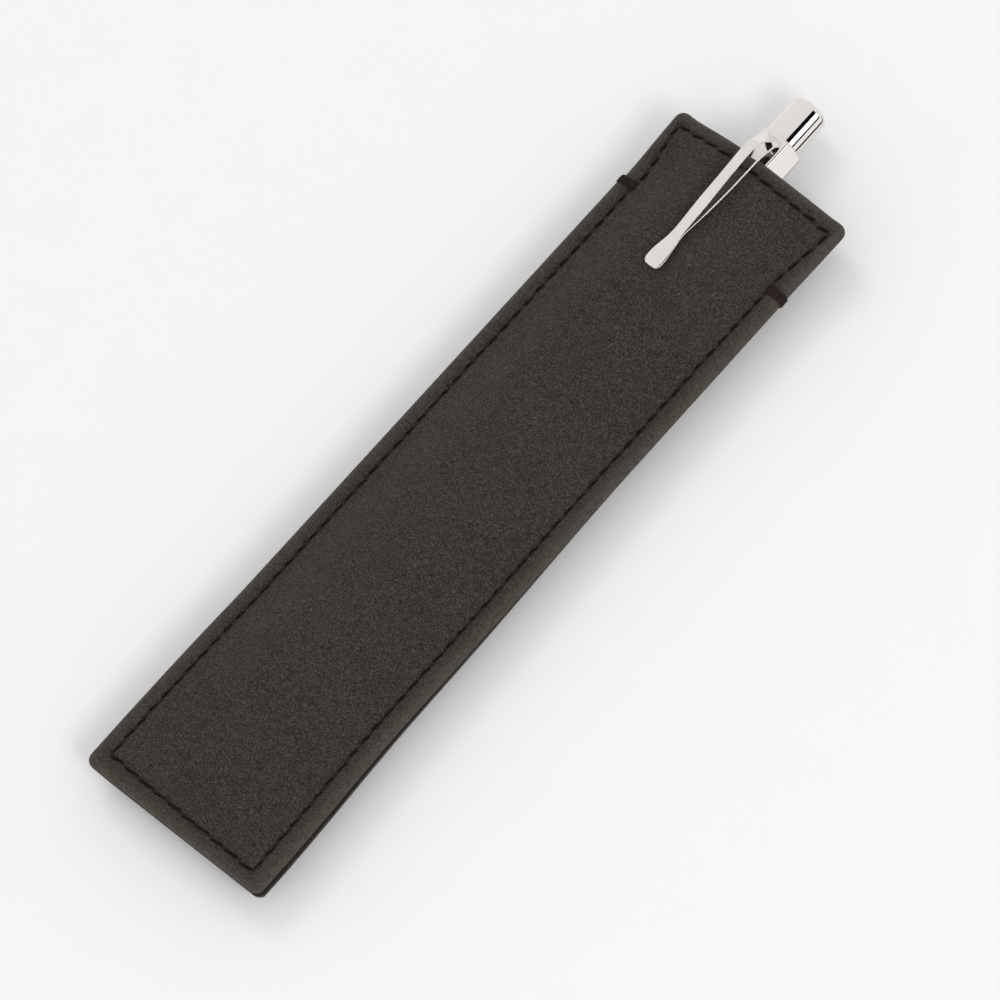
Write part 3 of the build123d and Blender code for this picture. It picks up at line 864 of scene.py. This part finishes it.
def clipHalf(length):
    fromTip = length - clip["tip"]
    body = clip["waist"] / 2 + (clip["width"] - clip["waist"]) / 2 * smoothStep((fromTip - 7) / 9)
    flare = (clip["tipWidth"] - clip["waist"]) / 2 * (1 - smoothStep((fromTip - 1.6) / 7.0))
    root = (clip["rootWidth"] - clip["width"]) / 2 * smoothStep((length - clip["bend"] - 0.6) / 3)
    end = math.sqrt(max(1 - (1 - min(fromTip / 1.3, 1)) ** 2, 0))
    return (body + flare + root) * (0.60 + 0.40 * end)


def arc(x, h, radius, start, end, steps):
    turns = [math.radians(a) for a in np.linspace(start, end, steps)]
    return [(x + radius * math.cos(t), h + radius * math.sin(t)) for t in turns]


def clipRing(length):
    # half a cross-section, from the middle of the top round the flange to the middle of the underside
    top = float(clipTop(length))
    low = min(clipUnder(length), top - 0.5)
    half = float(clipHalf(length))
    slope = abs(float(clipTop(length + 0.05) - clipTop(length - 0.05))) / 0.1
    ceiling = max(low + 0.02, top - clip["sheet"] * math.sqrt(1 + slope ** 2))
    spreading = float(np.clip((top - low - clip["spreadFrom"]) / clip["spreadOver"], 0, 1))
    corner = min(clip["corner"], (top - low) / 2)
    bead = min(clip["bead"], (top - low) / 4)
    out = clip["beadOut"] * min((top - low) / 2, 1)
    crown = clip["crown"]
    half += clip["spread"] * spreading
    upper = half - (clip["narrow"] + clip["spread"]) * spreading
    ring = [(s * (upper - corner), top + crown * (1 - s ** 2)) for s in (0, 0.25, 0.5, 0.75)]
    ring += arc(upper - corner, top - corner, corner, 90, 0, 9)
    ring += [(upper + (half - 0.03 - upper) * k, top - corner + (low + 2 * bead - top + corner) * k)
             for k in (0.04, 0.35, 0.7, 0.96, 1)]
    ring += arc(half + out - bead, low + bead, bead, 95, -90, 13)
    inner = max(upper - clip["sheet"], 0.1)
    ring += [(half - clip["sheet"], low + 0.02), ((half - clip["sheet"] + inner) / 2, (low + ceiling) / 2)]
    ring += [(s * inner, ceiling) for s in (1, 0.5, 0)]
    return ring


def clipPiece():
    lengths = spaced([(clip["tip"], clip["tip"] + 2, 0.06), (clip["tip"] + 2, clip["bend"] - 3, 0.35),
                      (clip["bend"] - 3, clip["rear"], 0.07)])
    points = []
    for length in lengths:
        right = clipRing(length)
        ring = right + [(-x, h) for x, h in right[-2:0:-1]]
        points += [onPen(x, length, h) for x, h in ring]
    faces = gridFaces(len(lengths), len(ring), closed=True)
    faces.append(tuple(range(len(ring))))
    faces.append(tuple(range(len(points) - len(ring), len(points))))
    piece = meshPiece("clip_strap", points, faces, polished)
    fixNormals(piece)
    piece.data.set_sharp_from_angle(angle=math.radians(40))
    return piece


for piece, body, node in ((barrelPiece(), "pen", "pen_barrel"), (buttonPiece(), "button", "push_button"),
                          (clipPiece(), "clip", "clip")):
    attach(piece, body)
    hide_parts(node)
inside = {
    "return_spring": springSteel, "refill_tube": refillMetal, "writing_ball": refillMetal,
    "nose_bush": brass, "mechanism_housing": brass, "refill_tip": brass,
    "refill_neck": whitePlastic, "refill_plug": whitePlastic,
    "plunger": whitePlastic, "cam_rotor": whitePlastic,
    "front_stiffener": board, "back_stiffener": board,
}
for node, material in inside.items():
    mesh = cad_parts[node].data
    mesh.materials.clear()
    mesh.materials.append(material)
print("pen made")


# Stage, light and camera

stage = {"floorSize": 6.0, "floorColour": (234, 234, 235), "world": 0.86}


def stageFloor():
    s = stage["floorSize"]
    b = Bench("paper")
    grain = b.noise(90, 3, 0.5)
    paper = b.finish({
        "Base Color": b.blend(grain * 0.3, srgb(*stage["floorColour"]), srgb(230, 230, 232)),
        "Roughness": 0.8,
        "Specular IOR Level": 0.1,
        "Normal": b.bump(grain, 0.02, 0.001),
    })
    floor = meshPiece("table_top", [(-s, -s, 0), (s, -s, 0), (s, s, 0), (-s, s, 0)], [(0, 1, 2, 3)], paper)


def areaLight(name, place, target, size, power):
    data = bpy.data.lights.new(name, "AREA")
    data.shape, data.size, data.energy = "SQUARE", size, power
    lamp = bpy.data.objects.new(name, data)
    lamp.location = place
    lamp.rotation_euler = (Vector(target) - Vector(place)).to_track_quat("-Z", "Y").to_euler()
    lamp.visible_glossy = False
    bpy.context.scene.collection.objects.link(lamp)


def studioWorld():
    world = bpy.data.worlds.new("studio")
    world.use_nodes = True
    back = world.node_tree.nodes["Background"]
    back.inputs["Color"].default_value = (1, 0.995, 0.985, 1)
    back.inputs["Strength"].default_value = stage["world"]
    bpy.context.scene.world = world


def studioCard(name, points, level):
    # a card that only reflections see: black paper, or a lit one above level 0
    b = Bench(name)
    fleck = b.noise(20)
    tones = (srgb(6, 6, 7), srgb(12, 12, 12)) if level == 0 else (srgb(250, 250, 250), srgb(255, 255, 255))
    paper = b.finish({"Base Color": b.blend(fleck, *tones), "Emission Color": b.blend(fleck, *tones),
                      "Emission Strength": level, "Roughness": 0.95, "Specular IOR Level": 0.0})
    card = meshPiece(name, points, gridFaces(2, len(points) // 2), paper)
    card.visible_camera = card.visible_diffuse = card.visible_shadow = False


def longCard(name, low, high, level=0):
    # a card along the pen; its angles are from straight up towards +X
    near, far, distance = -0.35, 0.75, 1.2
    turns = [math.radians(a) for a in np.linspace(low, high, 5)]
    points = [(distance * math.sin(t), y, distance * math.cos(t)) for y in (near, far) for t in turns]
    studioCard(name, points, level)


view = {
    "place": (0.3387, -0.2180, 0.9585), "right": (0.7444, 0.6579, -0.1145),
    "up": (-0.5835, 0.7242, 0.3676), "lens": 216,
}


def studioCamera():
    data = bpy.data.cameras.new("camera")
    data.sensor_width, data.lens, data.clip_end = 36, view["lens"], 20
    camera = bpy.data.objects.new("camera", data)
    right = Vector(view["right"]).normalized()
    up = Vector(view["up"])
    up = (up - right * up.dot(right)).normalized()
    back = right.cross(up)
    turn = Matrix((right, up, back)).transposed()
    camera.matrix_world = Matrix.Translation(Vector(view["place"])) @ turn.to_4x4()
    bpy.context.scene.collection.objects.link(camera)
    bpy.context.scene.camera = camera


stageFloor()
studioWorld()
areaLight("key_left", (-0.75, 0.30, 1.05), (0, 0, 0), 0.45, 2.2)
areaLight("key_right", (0.85, -0.15, 0.95), (0, 0, 0), 0.40, 4.2)
longCard("card_upper", 27, 50)
longCard("card_white", 50, 74, 1.3)
longCard("card_lower", 74, 84)
# black card on the table beside the pen, seen only in reflections: painted shade standing in for the table's
# shadow in the chrome
studioCard("card_table", [(x, y, 0.0004) for y in (0.070, 0.110) for x in (0.013, 0.022)], 0)
studioCamera()
bpy.context.scene.view_settings.view_transform = "Standard"
print("stage made")
